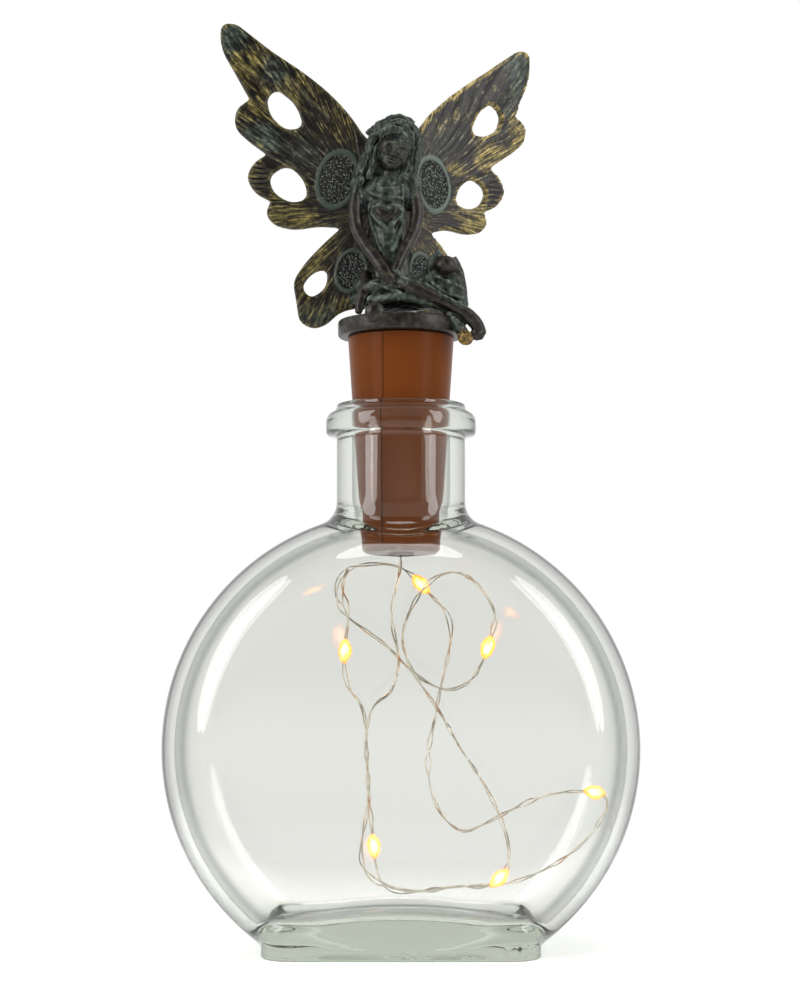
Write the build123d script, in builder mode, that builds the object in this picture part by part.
from build123d import *

import os
from math import cos, pi, radians, sin, sqrt, tan

# Cork bottle light: a clear moon flask on a foot, a tapered stopper that holds three
# button cells, a cast fairy on a screw cap, and a wire with six lights in the flask.
# Millimetres. The origin is the middle of the foot's underside, +Z is up, and the
# flask's front faces -Y.

os.makedirs("parts", exist_ok=True)

# Flask: a disc that stands on its rim, a foot below it and a neck with a lip above it
body_radius = 49.6
body_cut = 7.4
body_depth = 44.0
face_swell = 5.0
rim_flat = 2.0
glass_wall = 2.6
foot_spread = 2.4
foot_step = 1.45
foot_height = 7.0
foot_corner = 6.0
foot_edge = 0.8
floor_height = 8.3
floor_margin = 9.0
floor_fall = 5.3
neck_radius = 13.45
mouth_height = 114.2
lip_radius = 15.7
lip_band = 4.2
lip_rise = 2.3
lip_corner = 0.7
shoulder_radius = 4.0
throat_radius = 2.0

# Stopper
stopper_show = 14.0
stopper_length = 45.0
stopper_top_radius = 11.1
stopper_bottom_radius = 8.1
stopper_edge = 0.8
stopper_clearance = 0.12

# Button cells and what they touch
cell_radius = 5.8
cell_length = 5.4
cell_count = 3
cell_edge = 0.4
cell_clearance = 0.2
board_thickness = 1.0
board_clearance = 0.1
spring_room = 3.2
spring_width = 2.4
spring_thickness = 0.3
spring_reach = 3.6
strip_width = 2.0
strip_thickness = 0.3
strip_clearance = 0.05
resistor_length = 1.6
resistor_width = 0.8
resistor_height = 0.5
resistor_place = 2.2
wire_room_radius = 4.0
wire_room_depth = 8.0
plug_radius = 1.6
plug_flange_radius = 2.7
plug_flange_thickness = 0.5

# Screw cap under the figure
cap_radius = 7.4
cap_well_depth = 7.0
cap_clearance = 0.1
contact_radius = 6.7
contact_thickness = 0.4
seal_width = 1.4
seal_thickness = 1.2
seal_clearance = 0.05
seal_stand = 0.2

# Figure: its cast forms are shares of its height over the disc
disc_radius = 13.2
disc_thickness = 3.4
disc_chamfer = 0.5
figure_height = 43.5
figure_turn = 18.0
section_sides = 8

# Wings: their outlines are shares of the span and of the height
wing_span = 36.0
wing_height = 43.5
wing_thickness = 1.5
wing_sweep = 18.0
wing_root_depth = 3.6

# Light string
wire_radius = 0.5
wire_sides = 4
bead_radius = 1.4
bead_length = 4.6
bead_sides = 8
bead_clearance = 0.12
chip_length = 1.0
chip_width = 0.7
chip_height = 0.35
chip_gap = 0.08

# How far a cut runs past the material
overrun = 1.0

# Sizes that follow from the sizes above: the disc's middle and its rim, how wide and deep
# it is where the foot's underside cuts it, and the foot and the floor round that
body_height = body_radius - body_cut
rim_radius = (body_depth - rim_flat) / 2 - face_swell
face_radius = (face_swell**2 + body_radius**2) / (2 * face_swell)
rim_centre = (
    body_depth / 2
    - face_radius
    + sqrt((face_radius - rim_radius) ** 2 - (body_radius - rim_radius) ** 2)
)
base_half_width = sqrt(body_radius**2 - body_height**2)
base_half_depth = rim_centre + sqrt(rim_radius**2 - (rim_radius - body_cut) ** 2)
foot_width = 2 * (base_half_width + foot_spread)
foot_depth = 2 * (base_half_depth + foot_step)
floor_reach = base_half_width + floor_margin

# Heights and radii up the stopper and the cap
stopper_top = mouth_height + stopper_show
stopper_bottom = stopper_top - stopper_length
stopper_slope = (stopper_top_radius - stopper_bottom_radius) / stopper_length
bore_radius = stopper_top_radius - stopper_slope * stopper_show + stopper_clearance
cell_bore_radius = cell_radius + cell_clearance
cap_bore_radius = cap_radius + cap_clearance
cap_well_bottom = stopper_top - cap_well_depth
stack_bottom = cap_well_bottom - cell_count * cell_length
board_top = stack_bottom - spring_room
board_bottom = board_top - board_thickness
wire_room_bottom = board_bottom - wire_room_depth
wire_exit = stopper_bottom - plug_flange_thickness
disc_bottom = stopper_top + seal_stand
disc_top = disc_bottom + disc_thickness
seal_bottom = disc_bottom - seal_clearance - seal_thickness


# Flask
disc_plane = Plane(origin=(0, 0, body_height), x_dir=(0, 1, 0), z_dir=(0, 0, -1))
disc_axis = Axis((0, 0, body_height), (0, 1, 0))


def disc_half_section(radius, depth, swell, corner):
    """Half the section of a disc with swelling faces and a rounded rim."""
    with BuildSketch(disc_plane) as half:
        with BuildLine():
            Line((-depth / 2, 0), (depth / 2, 0))
            TangentArc((depth / 2, 0), (depth / 2 - swell, radius), tangent=(0, 1))
            Line((depth / 2 - swell, radius), (swell - depth / 2, radius))
            TangentArc((-depth / 2, 0), (swell - depth / 2, radius), tangent=(0, 1))
        make_face()
        fillet(half.vertices().group_by(Axis.Y)[-1], corner)
    return half.sketch


def collar_edges(solid, radius):
    """The edges where a round neck of this radius runs into the top of the disc."""
    return solid.edges().filter_by(
        lambda e: e.geom_type != GeomType.CIRCLE
        and e.bounding_box().min.Z > body_height + radius
        and e.bounding_box().max.Z < body_height + body_radius
        and e.bounding_box().size.Z < radius
    )


with BuildPart() as cavity:
    revolve(
        disc_half_section(
            body_radius - glass_wall,
            body_depth - 2 * glass_wall,
            face_swell,
            rim_radius - glass_wall,
        ),
        axis=disc_axis,
    )
    with Locations((0, 0, body_height)):
        Cylinder(
            bore_radius,
            mouth_height + overrun - body_height,
            align=(Align.CENTER, Align.CENTER, Align.MIN),
        )
    fillet(collar_edges(cavity, bore_radius), throat_radius)
    # The floor is pushed up in the middle, so the flask stands on a thick base.
    with BuildSketch(Plane.XZ):
        with BuildLine():
            ThreePointArc(
                (-floor_reach, floor_height - floor_fall),
                (0, floor_height),
                (floor_reach, floor_height - floor_fall),
            )
            Polyline(
                (floor_reach, floor_height - floor_fall),
                (floor_reach, -body_radius),
                (-floor_reach, -body_radius),
                (-floor_reach, floor_height - floor_fall),
            )
        make_face()
    extrude(amount=body_depth, both=True, mode=Mode.SUBTRACT)

with BuildPart() as bottle:
    revolve(
        disc_half_section(body_radius, body_depth, face_swell, rim_radius),
        axis=disc_axis,
    )
    with Locations((0, 0, body_height)):
        Cylinder(
            neck_radius,
            mouth_height - lip_rise - body_height,
            align=(Align.CENTER, Align.CENTER, Align.MIN),
        )
    fillet(collar_edges(bottle, neck_radius), shoulder_radius)
    with BuildSketch(Plane.XY):
        RectangleRounded(foot_width, foot_depth, foot_corner)
    extrude(amount=foot_height)
    split(bisect_by=Plane.XY, keep=Keep.TOP)
    # The lip is a band with bevelled corners and a top that rises to the mouth.
    with BuildSketch(Plane.XZ) as lip:
        with BuildLine():
            Polyline(
                (0, mouth_height - lip_rise - lip_band),
                (lip_radius, mouth_height - lip_rise - lip_band),
                (lip_radius, mouth_height - lip_rise),
                (bore_radius + lip_corner, mouth_height),
                (0, mouth_height),
                (0, mouth_height - lip_rise - lip_band),
            )
        make_face()
        chamfer(lip.vertices().group_by(Axis.X)[-1], lip_corner)
    revolve(axis=Axis.Z)
    chamfer(bottle.edges().group_by(Axis.Z)[0], foot_edge)
    add(cavity.part, mode=Mode.SUBTRACT)
bottle.part.label = "bottle"
export_step(bottle.part, "parts/bottle.step")


# Stopper: a tapered plug, bored in steps for the cap, the cells and the wire
with BuildPart() as stopper_shell:
    with BuildSketch(Plane.XZ) as plug_section:
        with BuildLine():
            Polyline(
                (0, stopper_bottom),
                (stopper_bottom_radius, stopper_bottom),
                (stopper_top_radius, stopper_top),
                (0, stopper_top),
                (0, stopper_bottom),
            )
        make_face()
        outer_corners = plug_section.vertices().sort_by(Axis.X)[-2:]
        chamfer(outer_corners.sort_by(Axis.Y)[0], stopper_edge)
    revolve(axis=Axis.Z)
    with BuildSketch(Plane.XY.offset(stopper_top)):
        Circle(cap_bore_radius)
    extrude(amount=-cap_well_depth, mode=Mode.SUBTRACT)
    with BuildSketch(Plane.XY.offset(seal_bottom - seal_clearance)):
        Circle(cap_bore_radius + seal_width + seal_clearance)
    extrude(amount=stopper_top - seal_bottom + overrun, mode=Mode.SUBTRACT)
    with BuildSketch(Plane.XY.offset(cap_well_bottom)):
        Circle(cell_bore_radius)
        with Locations((0, cell_bore_radius)):
            Rectangle(
                strip_width + 2 * strip_clearance,
                2 * (strip_thickness + 2 * strip_clearance),
            )
    extrude(amount=board_bottom - cap_well_bottom, mode=Mode.SUBTRACT)
    with BuildSketch(Plane.XY.offset(board_bottom)):
        Circle(wire_room_radius)
    extrude(amount=-wire_room_depth, mode=Mode.SUBTRACT)
    with BuildSketch(Plane.XY.offset(wire_room_bottom)):
        Circle(plug_radius)
    extrude(amount=stopper_bottom - overrun - wire_room_bottom, mode=Mode.SUBTRACT)
stopper_shell.part.label = "stopper_shell"
export_step(stopper_shell.part, "parts/stopper_shell.step")

# The bottom hole is filled by a plug with a thin flange, which the wire comes out of.
with BuildPart() as wire_plug:
    with BuildSketch(Plane.XY.offset(wire_exit)):
        Circle(plug_flange_radius)
    extrude(amount=plug_flange_thickness)
    with BuildSketch(Plane.XY.offset(stopper_bottom)):
        Circle(plug_radius)
    extrude(amount=wire_room_bottom - stopper_bottom)
    with BuildSketch(Plane.XY.offset(wire_exit)):
        RegularPolygon(wire_radius, wire_sides)
    extrude(amount=wire_room_bottom - wire_exit, mode=Mode.SUBTRACT)
wire_plug.part.label = "wire_plug"
export_step(wire_plug.part, "parts/wire_plug.step")

with BuildPart() as inner_wire:
    with BuildSketch(Plane.XY.offset(wire_exit)):
        RegularPolygon(wire_radius, wire_sides)
    extrude(amount=board_bottom - wire_exit)
inner_wire.part.label = "inner_wire"
export_step(inner_wire.part, "parts/inner_wire.step")

with BuildPart() as circuit_board:
    with BuildSketch(Plane.XY.offset(board_bottom)):
        Circle(cell_bore_radius - board_clearance)
    extrude(amount=board_thickness)
circuit_board.part.label = "circuit_board"
export_step(circuit_board.part, "parts/circuit_board.step")

with BuildPart() as resistor:
    with BuildSketch(Plane.XY.offset(board_bottom)):
        with Locations((resistor_place, 0)):
            Rectangle(resistor_length, resistor_width)
    extrude(amount=-resistor_height)
resistor.part.label = "resistor"
export_step(resistor.part, "parts/resistor.step")

# A bent leaf on the board pushes the cells up against the cap's contact.
with BuildPart() as battery_spring:
    with BuildSketch(Plane.XZ):
        with BuildLine():
            FilletPolyline(
                (spring_reach, board_top + spring_thickness / 2),
                (-spring_reach / 2, board_top + spring_thickness / 2),
                (-spring_reach, board_top + spring_room / 2),
                (0, stack_bottom - spring_thickness / 2),
                (spring_reach / 2, stack_bottom - spring_thickness / 2),
                radius=spring_thickness,
            )
        trace(line_width=spring_thickness)
    extrude(amount=spring_width / 2, both=True)
battery_spring.part.label = "battery_spring"
export_step(battery_spring.part, "parts/battery_spring.step")

# A strip in a groove beside the cells takes the cap's contact down to the board.
with BuildPart() as contact_strip:
    with BuildSketch(Plane.XY.offset(board_bottom)):
        with Locations((0, cell_bore_radius + strip_clearance)):
            Rectangle(
                strip_width, strip_thickness, align=(Align.CENTER, Align.MIN)
            )
    extrude(amount=cap_well_bottom - board_bottom)
contact_strip.part.label = "contact_strip"
export_step(contact_strip.part, "parts/contact_strip.step")

for place in range(cell_count):
    with BuildPart() as battery_cell:
        with BuildSketch(Plane.XY.offset(stack_bottom + place * cell_length)):
            Circle(cell_radius)
        extrude(amount=cell_length)
        chamfer(battery_cell.edges().group_by(Axis.Z)[-1], cell_edge)
    battery_cell.part.label = f"battery_cell_{place + 1}"
    export_step(battery_cell.part, f"parts/battery_cell_{place + 1}.step")


# Screw cap: it hangs under the disc, and its contact closes the circuit when tight
with BuildPart() as cap_contact:
    with BuildSketch(Plane.XY.offset(cap_well_bottom)):
        Circle(contact_radius)
    extrude(amount=contact_thickness)
cap_contact.part.label = "cap_contact"
export_step(cap_contact.part, "parts/cap_contact.step")

with BuildPart() as screw_cap:
    with BuildSketch(Plane.XY.offset(cap_well_bottom + contact_thickness)):
        Circle(cap_radius)
    extrude(amount=disc_bottom - cap_well_bottom - contact_thickness)
screw_cap.part.label = "screw_cap"
export_step(screw_cap.part, "parts/screw_cap.step")

with BuildPart() as cap_seal:
    with BuildSketch(Plane.XY.offset(seal_bottom)):
        Circle(cap_bore_radius + seal_width - seal_clearance)
        Circle(cap_radius + seal_clearance, mode=Mode.SUBTRACT)
    extrude(amount=seal_thickness)
cap_seal.part.label = "cap_seal"
export_step(cap_seal.part, "parts/cap_seal.step")


# Wings: an upper wing of four lobes and a lower wing, in one casting a side. The first
# share runs out from the root, the second up from the crotch. Lobes meet in notches.
lobe_shares = [
    [
        (0.02, 0.38), (0.136, 0.431), (0.237, 0.557), (0.373, 0.674), (0.533, 0.776),
        (0.689, 0.859), (0.822, 0.946), (0.905, 1.0), (0.990, 1.0), (1.0, 0.930),
        (0.982, 0.859), (0.911, 0.757), (0.825, 0.628),
    ],
    [(0.825, 0.628), (0.905, 0.580), (0.915, 0.490), (0.834, 0.425), (0.722, 0.358)],
    [(0.722, 0.358), (0.800, 0.318), (0.845, 0.246), (0.795, 0.170), (0.700, 0.129)],
    [
        (0.700, 0.129), (0.732, 0.065), (0.675, 0.010), (0.556, -0.012),
        (0.426, 0.007), (0.284, 0.0),
    ],
    [
        (0.284, 0.0), (0.391, -0.080), (0.497, -0.172), (0.570, -0.265),
        (0.550, -0.353), (0.532, -0.460), (0.450, -0.495), (0.373, -0.475),
        (0.290, -0.410), (0.150, -0.385), (0.02, -0.340),
    ],
]
hole_shares = [
    [
        (0.725, 0.635), (0.665, 0.680), (0.550, 0.605), (0.505, 0.490), (0.609, 0.475),
        (0.702, 0.545),
    ],
    [
        (0.712, 0.251), (0.600, 0.312), (0.500, 0.232), (0.481, 0.136), (0.586, 0.120),
        (0.684, 0.170),
    ],
    [(0.520, -0.290), (0.455, -0.220), (0.365, -0.200), (0.370, -0.295), (0.465, -0.348)],
]

# The part of its shorter run that a bend of a wire or of an outline takes up either side
bend_share = 0.45

wing_sides = {"wing_left": -1, "wing_right": 1}
wing_root_shares = (-0.055, 0.47)
wing_root = (
    wing_root_shares[0] * figure_height,
    wing_root_depth,
    disc_top + wing_root_shares[1] * figure_height,
)


def bend_radii(route):
    """The radius of the bend at each inner point of a route."""
    radii = []
    for before, here, after in zip(route, route[1:], route[2:]):
        coming = Vector(*here) - Vector(*before)
        going = Vector(*after) - Vector(*here)
        half_turn = radians(coming.get_angle(going)) / 2
        shorter_run = min(coming.length, going.length)
        radii.append(bend_share * shorter_run / tan(half_turn))
    return radii


def at_wing(shares):
    """Places of a wing's outline, from its shares."""
    return [(across * wing_span, up * wing_height) for across, up in shares]


def wing_plane(side):
    """The plane of one wing, swept back from the figure, which is itself turned."""
    sweep = radians(wing_sweep + side * figure_turn)
    return Plane(
        origin=wing_root,
        x_dir=(side * cos(sweep), sin(sweep), 0),
        z_dir=(side * sin(sweep), -side * cos(sweep), 0),
    )


wings = {}
for label, side in wing_sides.items():
    with BuildPart() as wing:
        with BuildSketch(wing_plane(side)):
            with BuildLine():
                for lobe in map(at_wing, lobe_shares):
                    FilletPolyline(*lobe, radius=bend_radii(lobe))
                Line(*at_wing([lobe_shares[-1][-1], lobe_shares[0][0]]))
            make_face()
            for hole in map(at_wing, hole_shares):
                with BuildLine():
                    round_hole = bend_radii([hole[-1], *hole, hole[0]])
                    FilletPolyline(*hole, radius=round_hole, close=True)
                make_face(mode=Mode.SUBTRACT)
        extrude(amount=wing_thickness / 2, both=True)
    wing.part.label = label
    export_step(wing.part, f"parts/{label}.step")
    wings[label] = wing.part


# Figure: a seated fairy, lofted through faceted ovals. Each row of a form is a place over
# the disc's top and the section's half width and half depth there, as shares of the
# figure's height.
torso_shares = [
    (-0.055, 0.01, -0.02, 0.125, 0.110),
    (-0.060, 0.00, 0.18, 0.110, 0.095),
    (-0.058, -0.01, 0.34, 0.075, 0.065),
    (-0.060, -0.01, 0.53, 0.100, 0.085),
    (-0.045, 0.00, 0.65, 0.140, 0.080),
    (-0.040, 0.00, 0.73, 0.055, 0.055),
]
hair_shares = [
    (-0.035, 0.025, 0.64, 0.115, 0.080),
    (-0.035, 0.025, 0.76, 0.135, 0.095),
    (-0.035, 0.020, 0.87, 0.125, 0.095),
    (-0.040, 0.010, 0.955, 0.085, 0.075),
    (-0.040, 0.005, 1.0, 0.030, 0.030),
]
head_shares = [
    (-0.040, -0.060, 0.745, 0.022, 0.020),
    (-0.037, -0.055, 0.785, 0.046, 0.045),
    (-0.034, -0.050, 0.830, 0.058, 0.055),
    (-0.030, -0.045, 0.885, 0.055, 0.050),
    (-0.028, -0.040, 0.925, 0.030, 0.030),
]
skirt_shares = [
    (0.00, -0.02, -0.02, 0.215, 0.190),
    (0.00, -0.02, 0.06, 0.225, 0.195),
    (0.01, -0.01, 0.15, 0.190, 0.160),
    (-0.03, 0.00, 0.27, 0.100, 0.090),
]
# Limbs and folds: a place and a radius in each row, from the body outwards
limb_shares = {
    "left arm": [
        (-0.175, 0.00, 0.665, 0.032), (-0.222, -0.01, 0.56, 0.031),
        (-0.222, -0.04, 0.45, 0.029), (-0.150, -0.09, 0.365, 0.027),
        (-0.087, -0.125, 0.285, 0.025), (-0.055, -0.14, 0.19, 0.023),
    ],
    "right arm": [
        (0.050, -0.01, 0.655, 0.032), (0.080, -0.02, 0.55, 0.031),
        (0.074, -0.05, 0.44, 0.029), (0.015, -0.10, 0.33, 0.026),
        (-0.036, -0.13, 0.19, 0.023),
    ],
    "raised knee": [
        (-0.02, 0.00, 0.16, 0.080), (0.14, 0.02, 0.235, 0.070),
        (0.275, 0.03, 0.255, 0.055), (0.335, 0.00, 0.15, 0.045),
        (0.360, -0.04, 0.02, 0.034), (0.375, -0.06, -0.04, 0.026),
    ],
    "near leg": [
        (-0.01, -0.14, 0.185, 0.036), (0.100, -0.15, 0.135, 0.033),
        (0.230, -0.14, 0.060, 0.030), (0.372, -0.10, -0.02, 0.027),
        (0.415, -0.09, -0.08, 0.024),
    ],
    "far foot": [
        (0.310, -0.09, 0.01, 0.032), (0.300, -0.13, -0.07, 0.032),
        (0.292, -0.145, -0.13, 0.024),
    ],
    "left fold": [
        (-0.160, -0.01, 0.27, 0.028), (-0.195, -0.04, 0.14, 0.036),
        (-0.210, -0.05, -0.01, 0.034),
    ],
    "near knee": [
        (-0.030, -0.12, 0.13, 0.050), (-0.100, -0.18, 0.06, 0.054),
        (-0.150, -0.20, 0.01, 0.038),
    ],
}


def oval_section(plane, half_width, half_depth):
    """A faceted oval about the origin of a plane."""
    corners = []
    for side in range(section_sides):
        angle = (2 * side + 1) * pi / section_sides
        corners.append((half_width * cos(angle), half_depth * sin(angle)))
    with BuildSketch(plane) as section:
        with BuildLine():
            Polyline(*corners, close=True)
        make_face()
    return section.sketch


def figure_place(shares):
    """A place on the figure, from its shares."""
    across, back, up = shares[:3]
    return Vector(across, back, up) * figure_height + Vector(0, 0, disc_top)


def upright_sections(rows, turn):
    """Level sections of a form that stands upright, turned about its own axis."""
    facing = (cos(radians(turn)), sin(radians(turn)), 0)
    return [
        oval_section(
            Plane(origin=figure_place(row), x_dir=facing, z_dir=(0, 0, 1)),
            row[3] * figure_height,
            row[4] * figure_height,
        )
        for row in rows
    ]


def limb_sections(rows):
    """Sections square to a limb's line, turned no more than the line makes them."""
    places = [figure_place(row) for row in rows]
    sections = []
    for i, row in enumerate(rows):
        along = places[min(i + 1, len(rows) - 1)] - places[max(i - 1, 0)]
        across = along.cross(Vector(0, 1, 0))
        plane = Plane(origin=places[i], x_dir=across, z_dir=along)
        sections.append(oval_section(plane, row[3] * figure_height, row[3] * figure_height))
    return sections


with BuildPart() as figure:
    with BuildSketch(Plane.XY.offset(disc_bottom)):
        Circle(disc_radius)
    extrude(amount=disc_thickness)
    chamfer(figure.edges(), disc_chamfer)
    loft(sections=upright_sections(torso_shares, figure_turn))
    loft(sections=upright_sections(hair_shares, figure_turn))
    loft(sections=upright_sections(head_shares, figure_turn))
    loft(sections=upright_sections(skirt_shares, 0))
    for rows in limb_shares.values():
        loft(sections=limb_sections(rows), ruled=True)
    # The wings' roots sit in slots in the back.
    add(wings["wing_left"], mode=Mode.SUBTRACT)
    add(wings["wing_right"], mode=Mode.SUBTRACT)
figure.part.label = "figure"
export_step(figure.part, "parts/figure.step")


# Light string: two fine wires twisted into one, from the plug under the stopper down into
# the flask. The lead stretches when the stopper is lifted, and the string lies loose.
lead_route = [
    (0, 0, 82.7), (0, 0, 80.3), (-0.8, -1.2, 76.5), (-1.9, -2.4, 71.6),
    (-1.8, -3, 67.2), (-1, -3, 64.4),
]
string_route = [
    (-1, -3, 64.4), (-0.2, -3, 61.6), (-0.8, -3.2, 57.2), (-2.3, -3.4, 53.5),
    (-5.4, -3.4, 51.8), (-6.9, -3.2, 48.2), (-7.3, -3, 43), (-6.7, -2.6, 36.1),
    (-6.5, -2.6, 30.7), (-5.9, -3, 25.5), (-5.3, -3.5, 18.9), (-4.2, -4.5, 14.6),
    (0.2, -5, 12.7), (6, -5.5, 13.4), (12, -5.2, 14.4), (17.9, -5, 13.8),
    (22.3, -4.5, 17.7), (22.3, -4, 22.8), (20.4, -3.5, 28.9), (16.9, -3, 35.7),
    (12.1, -2, 42.6), (8.4, -1, 49.5), (4.2, 0.2, 55.4), (1.1, 0.8, 60.8),
    (0, 0.4, 65.7), (1.7, -0.6, 70.7), (4, -1, 74.8), (7.3, -0.9, 78.2),
    (11.5, -0.6, 79.5), (15.3, -0.4, 77.6), (18.1, -0.2, 73.8), (19.9, -0.3, 70),
    (18.9, -0.6, 66.1), (17.2, -0.8, 60.6), (14.5, -1, 56), (10.1, -1.2, 54.1),
    (5.4, -1.3, 55.8), (1.3, -1.3, 59.1), (-2.9, -1.2, 63.7), (-7.3, -1, 66.7),
    (-11.3, -0.4, 69.6), (-13.9, 0.4, 73.9), (-13.1, 1.4, 78.5), (-9.9, 2.8, 80.7),
    (-5.7, 3.8, 81.3), (-1.5, 4, 81), (1.9, 3.4, 79.3), (6.5, 2.2, 73.9),
    (9.7, 1.6, 70.8), (10.7, 1.1, 66.5), (9.7, 0.6, 60.8), (8.2, 0.6, 54.9),
    (7.2, 1, 49.1), (5.9, 1.4, 43.6), (5.5, 1.5, 37.7), (6.5, 1.1, 32),
    (9, 0.5, 27.4), (13, 0, 24.5), (17.8, 0, 26.8), (23.3, 0, 29.7),
    (28.8, 0.4, 32.2), (33.9, 0.8, 33.3), (38.5, 1, 33.3), (42.8, 1.4, 32.8),
    (44.3, 2, 30.1), (42.4, 2.6, 26.5), (39.3, 3.2, 22.6), (35.1, 3.6, 19.2),
    (30.3, 3.9, 16.4), (24.6, 4, 14.3), (18.4, 4, 13.5), (11.9, 4, 13.5),
    (5.7, 4, 12.2), (-0.6, 4, 12.6), (-5.7, 3.6, 14.3), (-8.5, 3, 18.2),
    (-8.2, 2.5, 23.3), (-7, 2, 28.8), (-6.7, 1.5, 35.1), (-7.2, 1, 41.3),
    (-7.1, 0.5, 46.7), (-8.2, 0, 51.6), (-10.9, -0.5, 54.5), (-12, -1, 59.1),
    (-11.4, -1.4, 65.8), (-10.8, -2.4, 69.8), (-11.8, -2.6, 73.5), (-12.3, -2.4, 76.9),
    (-11.1, -2, 79.6),
]
# The runs of the string that carry a light at their middle, counted from its start
light_runs = [9, 15, 32, 46, 62, 83]
# A light's outline: along the wire and out from it, from one end to the other
bead_shares = [(-0.50, 0.60), (-0.20, 1.0), (0.20, 1.0), (0.50, 0.60)]


for label, route in (("lead_wire", lead_route), ("string_wire", string_route)):
    with BuildPart() as wire:
        with BuildLine() as wire_line:
            FilletPolyline(*route, radius=bend_radii(route))
        with BuildSketch(wire_line.line ^ 0) as wire_section:
            RegularPolygon(wire_radius, wire_sides)
        sweep()
    wire_length = wire_line.wire().length
    wire.part.label = label
    export_step(wire.part, f"parts/{label}.step")
    print(label, "bend radii:", *[round(radius, 1) for radius in bend_radii(route)])
    print(
        f"{label}: {wire_length:.1f} long, volume {wire.part.volume:.2f}, section times"
        f" length {wire_section.sketch.area * wire_length:.2f}"
    )

# Each light is a clear bead cast round the wire and round the chip that lies beside it.
for number, run in enumerate(light_runs, start=1):
    run_start = Vector(*string_route[run])
    run_end = Vector(*string_route[run + 1])
    middle = (run_start + run_end) / 2
    along = (run_end - run_start).normalized()
    across = along.cross(Vector(0, 1, 0))
    with BuildPart() as led_chip:
        with BuildSketch(Plane(origin=middle, x_dir=across, z_dir=along)):
            with Locations((0, wire_radius + bead_clearance + chip_gap)):
                Rectangle(chip_width, chip_height, align=(Align.CENTER, Align.MIN))
        extrude(amount=chip_length / 2, both=True)
    with BuildPart() as led_bead:
        bead_plane = Plane(origin=middle, x_dir=across, z_dir=along)
        for lengthwise, outward in bead_shares:
            with BuildSketch(bead_plane.offset(lengthwise * bead_length)):
                RegularPolygon(outward * bead_radius, bead_sides)
        loft(ruled=True)
        with BuildSketch(bead_plane):
            RegularPolygon(wire_radius + bead_clearance, bead_sides)
        extrude(amount=bead_length, both=True, mode=Mode.SUBTRACT)
        add(led_chip.part, mode=Mode.SUBTRACT)
    led_chip.part.label = f"led_chip_{number}"
    export_step(led_chip.part, f"parts/led_chip_{number}.step")
    led_bead.part.label = f"led_bead_{number}"
    export_step(led_bead.part, f"parts/led_bead_{number}.step")
